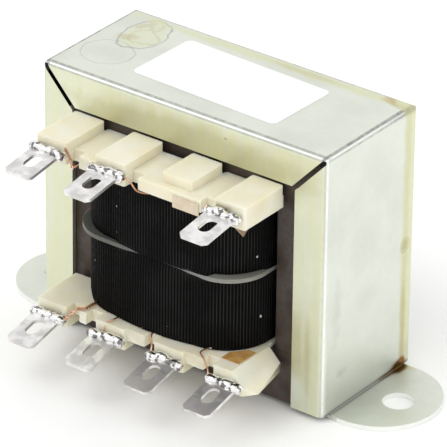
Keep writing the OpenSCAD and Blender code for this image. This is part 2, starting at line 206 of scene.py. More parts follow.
nylon, tree, shader, place = new_material(
    "natural nylon", Roughness=0.42, Subsurface_Weight=0.5, Subsurface_Scale=NYLON_DEPTH, IOR=1.53)
shader.inputs["Subsurface Radius"].default_value = (1.0, 0.75, 0.4)
clouds = mottle(tree, place, NYLON_PATCH)
cream = blend_colour(tree, clouds["Patches"], NYLON_PALE, NYLON_WARM)
# Between the two tape bands the nylon is painted dark, as the thin middle flange lies over the black coil,
# with painted shade deepening towards the left
spot = add(tree, "ShaderNodeSeparateXYZ", {0: place}).outputs
above = math_node(tree, "GREATER_THAN", spot["Z"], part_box("lower_tape_wrap")[1].z)
below = math_node(tree, "LESS_THAN", spot["Z"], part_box("upper_tape_wrap")[0].z)
thin = math_node(tree, "MULTIPLY", above, below)
shade_from_left = ramp(tree, spot["X"], SHADE_LEFT, SHADE_RIGHT)
dark = blend_colour(tree, shade_from_left, NYLON_SHADED, NYLON_OVER_BLACK)
tree.links.new(blend_colour(tree, thin, cream, dark), shader.inputs["Base Color"])
tree.links.new(ramp(tree, clouds["Speckle"], 0, 1, 0.36, 0.5), shader.inputs["Roughness"])
bump(tree, shader, clouds["Speckle"], NYLON_GRAIN, 0.5)
new_piece("bobbin_moulding", softened("bobbin", BOBBIN_EDGE), nylon, "bobbin")

# Windings
# Enamelled copper wire in two sections, one over the other. The tape hides nearly all of it, and it only
# shows in the narrow gaps beside the terminal boards, as turns that lie side by side.
TURN_PITCH = 0.36 * MM
TURN_RELIEF = 0.1 * MM
ENAMEL_LIGHT = (0.560, 0.250, 0.110, 1)
ENAMEL_GROOVE_SHADE = (0.300, 0.110, 0.045, 1)

enamel, tree, shader, place = new_material("enamelled wire", Metallic=1.0, Roughness=0.3, Coat_Weight=0.4)
height = add(tree, "ShaderNodeSeparateXYZ", {0: place}).outputs["Z"]
phase = math_node(tree, "MULTIPLY", height, math.pi / TURN_PITCH)
# The enamel is painted with shade in the grooves between neighbouring turns and is lighter on their crests
turns = math_node(tree, "ABSOLUTE", math_node(tree, "SINE", phase))
tree.links.new(blend_colour(tree, turns, ENAMEL_GROOVE_SHADE, ENAMEL_LIGHT), shader.inputs["Base Color"])
bump(tree, shader, turns, TURN_RELIEF)
for node in ("upper_winding", "lower_winding"):
    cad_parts[node].data.materials.clear()
    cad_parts[node].data.materials.append(enamel)

# Tape
# A black woven tape with ribs across it, wound once round each section and stuck down on itself. It bulges
# a little with the wire under it and rolls in at its edges, and lint sticks to it.
RIB_PITCH = 0.49 * MM
RIB_HEIGHT = 0.09 * MM
COLUMNS_PER_RIB = 6.0
TAPE_ROWS = 13
COIL_CORNER = 8.0 * MM
CORNER_STEPS = 24
FLANGE_WIDTH = 31.0 * MM
COIL_BOW = 0.8 * MM
TAPE_THICK = 0.25 * MM
TAPE_LAP = 0.3 * MM
TAPE_LEAN = 0.05
TAPE_FLARE = 0.9 * MM
TAPE_ROLL = 0.5 * MM
ROLL_INSET = 0.4
TAPE_BULGE = 0.25 * MM
SWELL_SCALE = 160.0
TAPE_CLEAR = 0.04 * MM
SEAM_PLAY = 0.08 * MM
TAPE_PATCH = 6 * MM
TAPE_GRAIN = 0.02 * MM
HIGHLIGHT_FADE_LEFT = -10 * MM
HIGHLIGHT_FADE_RIGHT = 5 * MM
LINT_SPACING = 1.6 * MM
LINT_SIZE = 0.8
LINT_SHARE = 0.2
TAPE_BLACK = (0.0016, 0.0015, 0.0014, 1)
TAPE_CREST_HIGHLIGHT = (0.0260, 0.0255, 0.0250, 1)
LINT = (0.45, 0.44, 0.42, 1)


def arc(centre, radius, start, end, steps):
    """Points along an arc, with angles in degrees."""
    turn = [math.radians(start + (end - start) * i / steps) for i in range(steps + 1)]
    return [(centre[0] + radius * math.cos(a), centre[1] + radius * math.sin(a)) for a in turn]


def coil_outline(half_width, half_depth):
    """Outline of the coil, anticlockwise: flat sides, round corners, bowed front and back."""
    flat = half_width - COIL_CORNER
    edge = half_depth - COIL_BOW
    bow_radius = (flat ** 2 + COIL_BOW ** 2) / (2 * COIL_BOW)
    swing = math.degrees(math.asin(flat / bow_radius))
    points = []
    for side in (1, -1):
        half = arc((flat, edge - COIL_CORNER), COIL_CORNER, 0, 90, CORNER_STEPS)
        bow_centre = (0, edge + COIL_BOW - bow_radius)
        half += arc(bow_centre, bow_radius, 90 - swing, 90 + swing, CORNER_STEPS)[1:-1]
        half += arc((-flat, edge - COIL_CORNER), COIL_CORNER, 90, 180, CORNER_STEPS)
        points += [(side * x, side * y) for x, y in half]
    return points


def new_curve(name, points, closed=False, thickness=0.0):
    """Makes a curve object through points, with a round thickness if one is given."""
    curve = bpy.data.curves.new(name, "CURVE")
    curve.dimensions = "3D"
    spline = curve.splines.new("POLY")
    spline.points.add(len(points) - 1)
    for control, point in zip(spline.points, points):
        control.co = (*point, 1) if len(point) == 3 else (*point, 0, 1)
    spline.use_cyclic_u = closed
    curve.bevel_depth = thickness / 2
    curve.bevel_resolution = 3
    curve.use_fill_caps = True
    holder = bpy.data.objects.new(name, curve)
    bpy.context.scene.collection.objects.link(holder)
    return holder


def set_input(modifier, label, value):
    """Sets a named input of a Geometry Nodes modifier by its socket's identifier."""
    for socket in modifier.node_group.interface.items_tree:
        if socket.name == label and socket.in_out == "INPUT":
            modifier[socket.identifier] = value


def settled(holder):
    """Turns an object with its modifiers into a plain mesh, and removes the object."""
    graph = bpy.context.evaluated_depsgraph_get()
    mesh = bpy.data.meshes.new_from_object(holder.evaluated_get(graph))
    bpy.data.objects.remove(holder)
    return mesh


def new_geometry_tree(name, inputs):
    """Starts a Geometry Nodes tree that takes a geometry and named sizes."""
    tree = bpy.data.node_groups.new(name, "GeometryNodeTree")
    tree.interface.new_socket("Geometry", in_out="INPUT", socket_type="NodeSocketGeometry")
    for label, kind in inputs:
        tree.interface.new_socket(label, in_out="INPUT", socket_type=kind)
    tree.interface.new_socket("Geometry", in_out="OUTPUT", socket_type="NodeSocketGeometry")
    return tree, add(tree, "NodeGroupInput").outputs, add(tree, "NodeGroupOutput").inputs


def vector_math(tree, operation, *values):
    """Adds a Vector Math node on sockets, vectors or a scale, and gives its output."""
    if operation == "SCALE":
        inputs = {0: values[0], "Scale": values[1]}
    else:
        inputs = dict(enumerate(values))
    return add(tree, "ShaderNodeVectorMath", inputs, operation=operation).outputs[0]


# A band that stands on a closed curve: its ribs run up it, its edges roll in, and where it stands out
# beyond the flange beside it, its edge laps over that flange
band, given, result = new_geometry_tree("Ribbed band", [
    ("Ribs", "NodeSocketInt"), ("Rib height", "NodeSocketFloat"), ("Low edge", "NodeSocketFloat"),
    ("High edge", "NodeSocketFloat"), ("Low lap", "NodeSocketFloat"), ("High lap", "NodeSocketFloat"),
    ("Flange width", "NodeSocketFloat"), ("Flange depth", "NodeSocketFloat"), ("Roll", "NodeSocketFloat"),
    ("Bulge", "NodeSocketFloat"), ("Material", "NodeSocketMaterial")])
columns = math_node(band, "ADD", math_node(band, "MULTIPLY", given["Ribs"], COLUMNS_PER_RIB), 1.0)
sheet = add(band, "GeometryNodeMeshGrid",
            {"Size X": 1.0, "Size Y": 1.0, "Vertices X": columns, "Vertices Y": TAPE_ROWS})
spot = add(band, "ShaderNodeSeparateXYZ", {0: add(band, "GeometryNodeInputPosition").outputs[0]}).outputs
along = math_node(band, "ADD", spot["X"], 0.5)
across = math_node(band, "ADD", spot["Y"], 0.5)
path = add(band, "GeometryNodeSampleCurve", {"Curves": given["Geometry"], "Factor": along},
           mode="FACTOR", use_all_curves=True)
outward = vector_math(band, "CROSS_PRODUCT", path.outputs["Tangent"], (0, 0, 1))
outward = vector_math(band, "NORMALIZE", outward)
phase = math_node(band, "MULTIPLY", math_node(band, "MULTIPLY", along, given["Ribs"]), math.pi)
crest = math_node(band, "ABSOLUTE", math_node(band, "SINE", phase))
sunk = math_node(band, "MULTIPLY", math_node(band, "SUBTRACT", crest, 1.0), given["Rib height"])
stand = add(band, "ShaderNodeSeparateXYZ", {0: path.outputs["Position"]}).outputs
beyond = math_node(band, "SUBTRACT", math_node(band, "ABSOLUTE", stand["Y"]), given["Flange depth"])
beside = math_node(band, "SUBTRACT", stand["X"], given["Flange width"])
leaning = math_node(band, "MULTIPLY_ADD", stand["X"], TAPE_LEAN, beyond)
leaning = math_node(band, "MAXIMUM", leaning, math_node(band, "ADD", beside, 0.5 * TAPE_LAP))
over = ramp(band, leaning, -TAPE_LAP, 1.5 * TAPE_LAP)
low_lap = math_node(band, "MULTIPLY", over, given["Low lap"])
high_lap = math_node(band, "MULTIPLY", over, given["High lap"])
low_edge = math_node(band, "SUBTRACT", given["Low edge"], low_lap)
high_edge = math_node(band, "ADD", given["High edge"], high_lap)
tall = math_node(band, "SUBTRACT", high_edge, low_edge)
to_edge = math_node(band, "MINIMUM", across, math_node(band, "SUBTRACT", 1.0, across))
to_edge = math_node(band, "MULTIPLY", to_edge, tall)
rolled = math_node(band, "SUBTRACT", 1.0, math_node(band, "DIVIDE", to_edge, given["Roll"]))
rolled = math_node(band, "MAXIMUM", rolled, 0.0)
rolled = math_node(band, "MULTIPLY", rolled, rolled)
inset = math_node(band, "MULTIPLY", math_node(band, "MULTIPLY", rolled, given["Roll"]), -ROLL_INSET)
climb = math_node(band, "MULTIPLY", across, tall)
up = math_node(band, "ADD", low_edge, climb)
lifted = add(band, "ShaderNodeCombineXYZ", {"Z": up}).outputs[0]
base = vector_math(band, "ADD", path.outputs["Position"], lifted)
swell = add(band, "ShaderNodeTexNoise", {"Vector": base, "Scale": SWELL_SCALE, "Detail": 2.0}).outputs["Fac"]
bulge = math_node(band, "MULTIPLY", math_node(band, "SUBTRACT", swell, 0.75), given["Bulge"])
shift = math_node(band, "ADD", math_node(band, "ADD", sunk, inset), bulge)
above_low = ramp(band, climb, 0.0, TAPE_FLARE, 1.0, 0.0)
under_high = ramp(band, math_node(band, "SUBTRACT", tall, climb), 0.0, TAPE_FLARE, 1.0, 0.0)
laps_low = math_node(band, "GREATER_THAN", given["Low lap"], 0.0)
laps_high = math_node(band, "GREATER_THAN", given["High lap"], 0.0)
lapped = math_node(band, "MULTIPLY", above_low, laps_low)
lapped = math_node(band, "MULTIPLY_ADD", under_high, laps_high, lapped)
clear = math_node(band, "SUBTRACT", TAPE_CLEAR, math_node(band, "MAXIMUM", beyond, beside))
flared = math_node(band, "MULTIPLY", lapped, ramp(band, leaning, -1.7 * TAPE_LAP, -0.4 * TAPE_LAP))
missing = math_node(band, "MAXIMUM", math_node(band, "SUBTRACT", clear, shift), 0.0)
shift = math_node(band, "MULTIPLY_ADD", flared, missing, shift)
target = vector_math(band, "ADD", base, vector_math(band, "SCALE", outward, shift))
mark = {"Geometry": sheet.outputs["Mesh"], "Name": "crest", "Value": crest}
marked = add(band, "GeometryNodeStoreNamedAttribute", mark, data_type="FLOAT", domain="POINT")
stood = add(band, "GeometryNodeSetPosition", {"Geometry": marked.outputs[0], "Position": target})
closed = add(band, "GeometryNodeMergeByDistance", {"Geometry": stood.outputs[0], "Distance": 0.001 * MM})
whole = add(band, "GeometryNodeRealizeInstances", {"Geometry": closed.outputs[0]})
dressed = add(band, "GeometryNodeSetMaterial",
              {"Geometry": whole.outputs[0], "Material": given["Material"]})
band.links.new(dressed.outputs[0], result["Geometry"])

# Specks: scattered small spots, such as lint or splashes
specks, given, result = new_group(
    "Specks", [("Position", "NodeSocketVector"), ("Spacing", "NodeSocketFloat"),
               ("Size", "NodeSocketFloat"), ("Share", "NodeSocketFloat")], ["Mask"])
cells = add(specks, "ShaderNodeTexVoronoi",
            {"Vector": given["Position"], "Scale": math_node(specks, "DIVIDE", 1.0, given["Spacing"])})
chance = add(specks, "ShaderNodeSeparateColor", {0: cells.outputs["Color"]}).outputs[0]
spread = math_node(specks, "MULTIPLY", given["Size"], chance)
near = math_node(specks, "LESS_THAN", cells.outputs["Distance"], spread)
picked = math_node(specks, "LESS_THAN", chance, given["Share"])
specks.links.new(math_node(specks, "MULTIPLY", near, picked), result["Mask"])

tape, tree, shader, place = new_material("black ribbed tape", Roughness=0.5, Specular_IOR_Level=0.05)
ribs = add(tree, "ShaderNodeAttribute", attribute_name="crest").outputs["Fac"]
clouds = mottle(tree, place, TAPE_PATCH)
patchy = ramp(tree, clouds["Patches"], 0, 1, 0.35, 1.0)
# The rib crests get a patchy painted highlight, which fades towards the left
painted_light = math_node(tree, "MULTIPLY", ramp(tree, ribs, 0.8, 1.0), patchy)
highlight_fade_x = add(tree, "ShaderNodeSeparateXYZ", {0: place}).outputs["X"]
painted_light = math_node(tree, "MULTIPLY", painted_light, ramp(tree, highlight_fade_x, HIGHLIGHT_FADE_LEFT, HIGHLIGHT_FADE_RIGHT, 0.2, 1.0))
lint = add(tree, "ShaderNodeGroup", node_tree=specks)
tree.links.new(place, lint.inputs["Position"])
lint.inputs["Spacing"].default_value = LINT_SPACING
lint.inputs["Size"].default_value = LINT_SIZE
lint.inputs["Share"].default_value = LINT_SHARE
black = blend_colour(tree, painted_light, TAPE_BLACK, TAPE_CREST_HIGHLIGHT)
tree.links.new(blend_colour(tree, lint.outputs["Mask"], black, LINT), shader.inputs["Base Color"])
tree.links.new(ramp(tree, clouds["Speckle"], 0, 1, 0.42, 0.6), shader.inputs["Roughness"])
bump(tree, shader, clouds["Speckle"], TAPE_GRAIN, 0.6)

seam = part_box("upper_tape_wrap")[0].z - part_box("lower_tape_wrap")[1].z - SEAM_PLAY
for side in ("upper", "lower"):
    low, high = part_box(side + "_tape_wrap")
    outline = coil_outline(high.x, high.y)
    holder = new_curve(side + "_tape_path", outline, closed=True)
    length = sum(math.dist(a, b) for a, b in zip(outline, outline[1:] + outline[:1]))
    wound = holder.modifiers.new("Ribbed band", "NODES")
    wound.node_group = band
    set_input(wound, "Ribs", round(length / RIB_PITCH))
    set_input(wound, "Rib height", RIB_HEIGHT)
    set_input(wound, "Low edge", low.z)
    set_input(wound, "High edge", high.z)
    set_input(wound, "Low lap", seam / 2 if side == "upper" else 0.0)
    set_input(wound, "High lap", seam / 2 if side == "lower" else 0.0)
    set_input(wound, "Flange width", FLANGE_WIDTH / 2)
    set_input(wound, "Flange depth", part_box("bobbin")[1].y)
    set_input(wound, "Roll", TAPE_ROLL)
    set_input(wound, "Bulge", TAPE_BULGE)
    set_input(wound, "Material", tape)
    mesh = settled(holder)
    skin = bpy.data.objects.new(side + "_tape_skin", mesh)
    bpy.context.scene.collection.objects.link(skin)
    thick = skin.modifiers.new("Thickness", "SOLIDIFY")
    thick.thickness = TAPE_THICK
    thick.offset = -1
    mesh = settled(skin)
    smooth_faces(mesh, 50)
    new_piece(side + "_ribbed_tape", mesh, tape, side + "_tape_wrap")

# Lugs
# Seven flat lugs stamped from brass and tinned, each with a long slot. Their tails are pressed into the
# blocks of the terminal boards, and their blades slope down with a slight dulling of the tin.
LUG_EDGE = 0.09 * MM
LUG_THICK = 0.5 * MM
TIN_PATCH = 1.8 * MM
TIN_GRAIN = 0.01 * MM
TIN_BRIGHT = (0.880, 0.866, 0.858, 1)
TIN_DULL = (0.640, 0.624, 0.614, 1)
LUGS = {"upper": ("left", "centre", "right"), "lower": ("1", "2", "3", "4")}

tin, tree, shader, place = new_material("tinned brass", Metallic=0.86, Roughness=0.26)
clouds = mottle(tree, place, TIN_PATCH)
tree.links.new(blend_colour(tree, clouds["Patches"], TIN_BRIGHT, TIN_DULL), shader.inputs["Base Color"])
tree.links.new(ramp(tree, clouds["Patches"], 0, 1, 0.28, 0.42), shader.inputs["Roughness"])
bump(tree, shader, clouds["Patches"], TIN_GRAIN, 0.4)
for row, places in LUGS.items():
    for spot in places:
        node = f"{row}_lug_{spot}"
        new_piece(f"{row}_blade_{spot}", softened(node, LUG_EDGE), tin, node)

# Leads
# The ends of the winding wire, pinkish bare copper. They leave the coil under the tape's edge, cross the
# front edge of the board and end at the foot of their lug. Two of them are twisted from two strands.
STRAND = 0.25 * MM
TWIST_PITCH = 1.3 * MM
TWISTED = ("upper_lead_left", "lower_lead_1")
LEAN = {"upper_lead_centre": 2.4 * MM, "lower_lead_1": 1.6 * MM, "lower_lead_2": 3.7 * MM,
        "lower_lead_4": -1.9 * MM}
START = {"upper_lead_left": 0.9 * MM, "lower_lead_2": 1.2 * MM}
TAIL = {"upper_lead_left": 0.9 * MM}
COPPER_PINK = (0.860, 0.560, 0.400, 1)
COPPER_BROWN = (0.480, 0.250, 0.150, 1)
COPPER_PATCH = 1.5 * MM
ASKEW = Vector((0.31, 0.17, 0.93))

copper, tree, shader, place = new_material("copper wire", Metallic=1.0, Roughness=0.28, Coat_Weight=0.3)
clouds = mottle(tree, place, COPPER_PATCH)
tarnish = blend_colour(tree, clouds["Patches"], COPPER_PINK, COPPER_BROWN)
tree.links.new(tarnish, shader.inputs["Base Color"])


def smooth_path(points, steps):
    """Points on a smooth curve that passes through the given ones."""
    ends = [2 * points[0] - points[1], *points, 2 * points[-1] - points[-2]]
    curve = []
    for a, b, c, d in zip(ends, ends[1:], ends[2:], ends[3:]):
        for i in range(steps):
            t = i / steps
            curve.append(0.5 * (2 * b + (c - a) * t + (2 * a - 5 * b + 4 * c - d) * t ** 2
                                + (3 * b - a - 3 * c + d) * t ** 3))
    return curve + [points[-1]]


def strand_path(path, offset, turn):
    """Shifts a path sideways round itself, as one strand of a twisted pair."""
    shifted = []
    run = 0.0
    for i, point in enumerate(path):
        heading = (path[min(i + 1, len(path) - 1)] - path[max(i - 1, 0)]).normalized()
        side = heading.cross(ASKEW).normalized()
        angle = turn + run * math.tau / TWIST_PITCH
        shifted.append(point + offset * (math.cos(angle) * side + math.sin(angle) * heading.cross(side)))
        if i + 1 < len(path):
            run += (path[i + 1] - point).length
    return shifted


def joined(meshes, name):
    """Joins meshes into one."""
    whole = bmesh.new()
    for mesh in meshes:
        whole.from_mesh(mesh)
    result = bpy.data.meshes.new(name)
    whole.to_mesh(result)
    whole.free()
    return result


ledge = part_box("board_strip")[1].y
face = {"upper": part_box("insulation_tab")[1].z, "lower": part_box("lead_film")[0].z}
side = {"upper": -1, "lower": 1}
for row, places in LUGS.items():
    for spot in places:
        node = f"{row}_lead_{spot}"
        low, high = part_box(node)
        lug_low, lug_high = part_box(f"{row}_lug_{spot}")
        away = 1 if low.x + high.x > lug_low.x + lug_high.x else -1
        near_x, far_x = (low.x, high.x) if away > 0 else (high.x, low.x)
        top = high.z if row == "upper" else low.z
        tail = TAIL.get(node, 0.0)
        lean = LEAN.get(node, 0.0)
        start = near_x + START.get(node, 0.0)
        end = far_x - away * STRAND / 2 + lean
        coil = min((p for p in outline if p[1] < 0), key=lambda p: abs(p[0] - end))[1]
        rest = side[row] * STRAND
        route = [Vector((start, low.y + STRAND, top + tail)),
                 Vector((start + 0.3 * (end - start), ledge - 2.3 * STRAND, (top + face[row]) / 2)),
                 Vector((start + 0.6 * (end - start), ledge - 0.8 * STRAND, face[row] + 0.4 * rest)),
                 Vector((end, ledge + 2.5 * STRAND, face[row] + 1.4 * rest)),
                 Vector((end, coil + STRAND, face[row] + rest))]
        path = smooth_path(route, 12)
        turns = (0, math.pi) if node in TWISTED else (0,)
        offset = STRAND / 2 if node in TWISTED else 0
        strands = []
        for turn in turns:
            strands.append(settled(new_curve(node, strand_path(path, offset, turn), thickness=STRAND)))
        mesh = joined(strands, node)
        smooth_faces(mesh, 60)
        new_piece(f"{row}_wire_{spot}", mesh, copper, node)

# Solder
# Each lead is wound round the foot of its lug and soldered: the solder runs into one lumpy bead over the
# turns, bright with dark patches scattered over it by noise.
TURNS = 2
TURN_GAP = 0.7 * MM
WRAP = 0.42 * MM
LUMPS = 4
LUMP = 0.95 * MM
SOLDER_CELL = 0.08 * MM
SOLDER_SEED = 2
SOLDER_BRIGHT = (0.900, 0.895, 0.890, 1)
SOLDER_DARK = (0.075, 0.070, 0.066, 1)
SOLDER_PATCH = 0.9 * MM

solder, tree, shader, place = new_material("solder", Metallic=1.0, Roughness=0.12)
clouds = mottle(tree, place, SOLDER_PATCH)
dark_patches = ramp(tree, clouds["Patches"], 0.55, 0.9, 0.0, 0.85)
tree.links.new(blend_colour(tree, dark_patches, SOLDER_BRIGHT, SOLDER_DARK), shader.inputs["Base Color"])
tree.links.new(ramp(tree, clouds["Speckle"], 0, 1, 0.12, 0.26), shader.inputs["Roughness"])


def wound_turn(half_width, half_height, y):
    """One closed turn of wire round a lug's foot, in the plane across the blade."""
    corner = half_height
    right_end = arc((half_width - corner, 0), corner, -90, 90, 8)
    left_end = arc((corner - half_width, 0), corner, 90, 270, 8)
    return [Vector((x, y, z)) for x, z in right_end + left_end]


noise.seed_set(SOLDER_SEED)
for row, places in LUGS.items():
    for index, spot in enumerate(places):
        lug_low, lug_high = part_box(f"{row}_lug_{spot}")
        middle = (lug_low.x + lug_high.x) / 2
        bend = Vector((middle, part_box("bobbin")[0].y - LUG_THICK, lug_high.z - LUG_THICK / 2))
        droop = math.atan2(lug_high.z - lug_low.z - LUG_THICK, bend.y - lug_low.y)
        slope = Matrix.Translation(bend) @ Matrix.Rotation(droop, 4, "X")
        lumps = []
        half = (lug_high.x - lug_low.x) / 2
        for turn in range(TURNS):
            loop = wound_turn(half + WRAP / 2, LUG_THICK / 2 + WRAP / 2, -turn * TURN_GAP)
            lumps.append(settled(new_curve("turn", [slope @ p for p in loop], closed=True, thickness=WRAP)))
        bead = bmesh.new()
        for k in range(LUMPS):
            stray = noise.noise_vector(Vector((middle / MM, 1.7 * k, index)))
            across = (k / (LUMPS - 1) - 0.5) * 1.4 * half
            size = LUMP * (1 + 0.5 * stray.x)
            lift = LUG_THICK / 2 + 0.2 * LUMP * stray.z
            centre = slope @ Vector((across, 0.5 * LUMP * (stray.y - 0.8), lift))
            ball = Matrix.Translation(centre) @ Matrix.Diagonal((1.2 * size, 0.8 * size, 0.7 * size, 1))
            bmesh.ops.create_icosphere(bead, subdivisions=3, radius=1.0, matrix=ball)
        mesh = bpy.data.meshes.new("bead")
        bead.to_mesh(mesh)
        bead.free()
        lump = bpy.data.objects.new("lump", joined(lumps + [mesh], "lump"))
        bpy.context.scene.collection.objects.link(lump)
        fused = lump.modifiers.new("Fused", "REMESH")
        fused.mode = "VOXEL"
        fused.voxel_size = SOLDER_CELL
        flow = lump.modifiers.new("Flow", "SMOOTH")
        flow.factor = 0.5
        flow.iterations = 4
        mesh = settled(lump)
        smooth_faces(mesh, 180)
        new_piece(f"{row}_bead_{spot}", mesh, solder, f"{row}_solder_{spot}")

# Insulating film
# Thin ends of polyester film and paper that the winder left in: a pale strip on the upper board's front
# edge, an amber corner under its right end and an amber patch on the lower board beside the coil.
FILMS = {"board_strip": ((0.660, 0.570, 0.430, 1), (0.600, 0.490, 0.350, 1)),
         "insulation_tab": ((0.330, 0.215, 0.120, 1), (0.230, 0.140, 0.075, 1)),
         "lead_film": ((0.560, 0.330, 0.110, 1), (0.420, 0.220, 0.060, 1))}
FILM_PATCH = 1.5 * MM

for node, (pale, deep) in FILMS.items():
    film, tree, shader, place = new_material(node.replace("_", " "), Roughness=0.3, Coat_Weight=0.2)
    clouds = mottle(tree, place, FILM_PATCH)
    tree.links.new(blend_colour(tree, clouds["Patches"], pale, deep), shader.inputs["Base Color"])
    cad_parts[node].data.materials.clear()
    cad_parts[node].data.materials.append(film)

# Core
# Two stacks of punched silicon steel sheets: E sheets with their yoke at the top, and I sheets that close
# the legs below. Each sheet takes half a millimetre of the stack, brown with varnish and a little rust.
SHEETS = 40
SHEET_SHARE = 0.9
SHEET_PLAY = 0.03 * MM
E_SEED = 3
I_SEED = 8
IRON_GREY = (0.088, 0.074, 0.068, 1)
IRON_BROWN = (0.052, 0.039, 0.032, 1)
RUST = (0.120, 0.062, 0.028, 1)
IRON_PATCH = 4 * MM
IRON_GRAIN = 0.02 * MM

stack, given, result = new_geometry_tree("Sheet stack", [
    ("Sheets", "NodeSocketInt"), ("Pitch", "NodeSocketFloat"), ("Front", "NodeSocketFloat"),
    ("Play", "NodeSocketFloat"), ("Seed", "NodeSocketInt"), ("Material", "NodeSocketMaterial")])
step = add(stack, "ShaderNodeCombineXYZ", {"Y": given["Pitch"]}).outputs[0]
start = add(stack, "ShaderNodeCombineXYZ", {"Y": given["Front"]}).outputs[0]
line = add(stack, "GeometryNodeMeshLine",
           {"Count": given["Sheets"], "Start Location": start, "Offset": step})
stray = add(stack, "FunctionNodeRandomValue", {"Seed": given["Seed"]}, data_type="FLOAT_VECTOR")
stray.inputs[0].default_value = (-1, 0, -1)
stray.inputs[1].default_value = (1, 0, 1)
moved = vector_math(stack, "SCALE", stray.outputs[0], given["Play"])
uneven = add(stack, "GeometryNodeSetPosition", {"Geometry": line.outputs[0], "Offset": moved})
copies = add(stack, "GeometryNodeInstanceOnPoints",
             {"Points": uneven.outputs[0], "Instance": given["Geometry"]})
whole = add(stack, "GeometryNodeRealizeInstances", {"Geometry": copies.outputs[0]})
dressed = add(stack, "GeometryNodeSetMaterial",
              {"Geometry": whole.outputs[0], "Material": given["Material"]})
stack.links.new(dressed.outputs[0], result["Geometry"])

iron, tree, shader, place = new_material("varnished core steel", Metallic=0.55, Roughness=0.5)
clouds = mottle(tree, place, IRON_PATCH)
brown = blend_colour(tree, clouds["Patches"], IRON_GREY, IRON_BROWN)
rusty = math_node(tree, "MULTIPLY", ramp(tree, clouds["Speckle"], 0.5, 0.9), 0.3)
tree.links.new(blend_colour(tree, rusty, brown, RUST), shader.inputs["Base Color"])
tree.links.new(ramp(tree, clouds["Speckle"], 0, 1, 0.38, 0.62), shader.inputs["Roughness"])
bump(tree, shader, clouds["Speckle"], IRON_GRAIN, 0.6)


def sheet_mesh(name, outline, thick):
    """One flat sheet, from its outline in X and Z."""
    sheet = bmesh.new()
    face = sheet.faces.new([sheet.verts.new((x, 0, z)) for x, z in outline])
    raised = bmesh.ops.extrude_face_region(sheet, geom=[face])
    corners = [part for part in raised["geom"] if isinstance(part, bmesh.types.BMVert)]
    bmesh.ops.translate(sheet, vec=(0, thick, 0), verts=corners)
    bmesh.ops.recalc_face_normals(sheet, faces=sheet.faces[:])
    mesh = bpy.data.meshes.new(name)
    sheet.to_mesh(mesh)
    sheet.free()
    return mesh


low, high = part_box("e_laminations")
leg = (high.x - low.x) / 6
play = SHEET_PLAY
left, right, bottom, top = low.x + play, high.x - play, low.z + play, high.z - play
shoulder = high.z - leg
e_outline = [(left, bottom), (low.x + leg, bottom), (low.x + leg, shoulder), (low.x + 2 * leg, shoulder),
             (low.x + 2 * leg, bottom), (high.x - 2 * leg, bottom), (high.x - 2 * leg, shoulder),
             (high.x - leg, shoulder), (high.x - leg, bottom), (right, bottom), (right, top), (left, top)]
i_low, i_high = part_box("i_laminations")
i_outline = [(left, i_low.z + play), (right, i_low.z + play),
             (right, i_high.z - play), (left, i_high.z - play)]
pitch = (high.y - low.y) / SHEETS
stacks = (("e_laminations", "e_sheets", e_outline, E_SEED),
          ("i_laminations", "i_sheets", i_outline, I_SEED))
for node, name, outline, seed in stacks:
    holder = bpy.data.objects.new(name, sheet_mesh(name, outline, SHEET_SHARE * pitch))
    bpy.context.scene.collection.objects.link(holder)
    stacked = holder.modifiers.new("Sheet stack", "NODES")
    stacked.node_group = stack
    set_input(stacked, "Sheets", SHEETS)
    set_input(stacked, "Pitch", pitch)
    set_input(stacked, "Front", low.y)
    set_input(stacked, "Play", play)
    set_input(stacked, "Seed", seed)
    set_input(stacked, "Material", iron)
    new_piece(name, settled(holder), iron, node)

# Bracket
# A strip of zinc-plated steel sheet, flanged along both edges, bent down over the core and out into two
# ears. The impregnating varnish left yellow streaks on the flanges, rings on the top and brown runs behind.
BRACKET_EDGE = 0.09 * MM
SIDE_FLANGE = 5.5
TOP_FLANGE = 5.9
BEND = 1.0
MITRE_GAP = 0.65
CUT_LOW = 0.64
CUT_HIGH = 0.76
EAR_START = 1.3
BEND_LINES = {"Crest": (-0.1, 0.28), "First edge": (-0.62, 0.4), "Second edge": (0.34, 0.25)}
RAGGED_SCALE = 420.0
STREAK_SCALE = (900, 900, 60)
ZINC_PATCH = 9 * MM
ZINC_GRAIN = 0.008 * MM
ZINC_PALE = (0.745, 0.772, 0.695, 1)
ZINC_GREY = (0.685, 0.710, 0.635, 1)
ZINC_SHINE = (0.960, 0.970, 0.950, 1)
ZINC_STAIN_AND_SHADE = (0.200, 0.210, 0.195, 1)
SLOT_SHADE = (0.010, 0.009, 0.008, 1)
VARNISH_YELLOW = (0.710, 0.720, 0.480, 1)
VARNISH_OLIVE = (0.430, 0.400, 0.190, 1)
VARNISH_AMBER = (0.460, 0.330, 0.090, 1)
VARNISH_ORANGE = (0.300, 0.110, 0.010, 1)
VARNISH_BROWN = (0.115, 0.058, 0.007, 1)

# Stain: a ragged patch round a centre, strongest in the middle, with a darker rim where it dried
stain, given, result = new_group(
    "Stain", [("Position", "NodeSocketVector"), ("Centre", "NodeSocketVector"),
              ("Reach", "NodeSocketVector"), ("Softness", "NodeSocketFloat"),
              ("Ragged", "NodeSocketFloat")], ["Mask", "Rim"])
offset = vector_math(stain, "SUBTRACT", given["Position"], given["Centre"])
offset = vector_math(stain, "DIVIDE", offset, given["Reach"])
away = vector_math(stain, "LENGTH", offset).node.outputs["Value"]
ragged = add(stain, "ShaderNodeTexNoise",
             {"Vector": given["Position"], "Scale": RAGGED_SCALE, "Detail": 5.0}).outputs["Fac"]
ragged = math_node(stain, "MULTIPLY", math_node(stain, "SUBTRACT", ragged, 0.5), given["Ragged"])
away = math_node(stain, "ADD", away, ragged)
inner = math_node(stain, "SUBTRACT", 1.0, given["Softness"])
mask = ramp(stain, away, inner, 1.0, 1.0, 0.0)
stain.links.new(mask, result["Mask"])
rim = math_node(stain, "MULTIPLY", mask, math_node(stain, "SUBTRACT", 1.0, mask))
stain.links.new(math_node(stain, "MULTIPLY", rim, 4.0), result["Rim"])


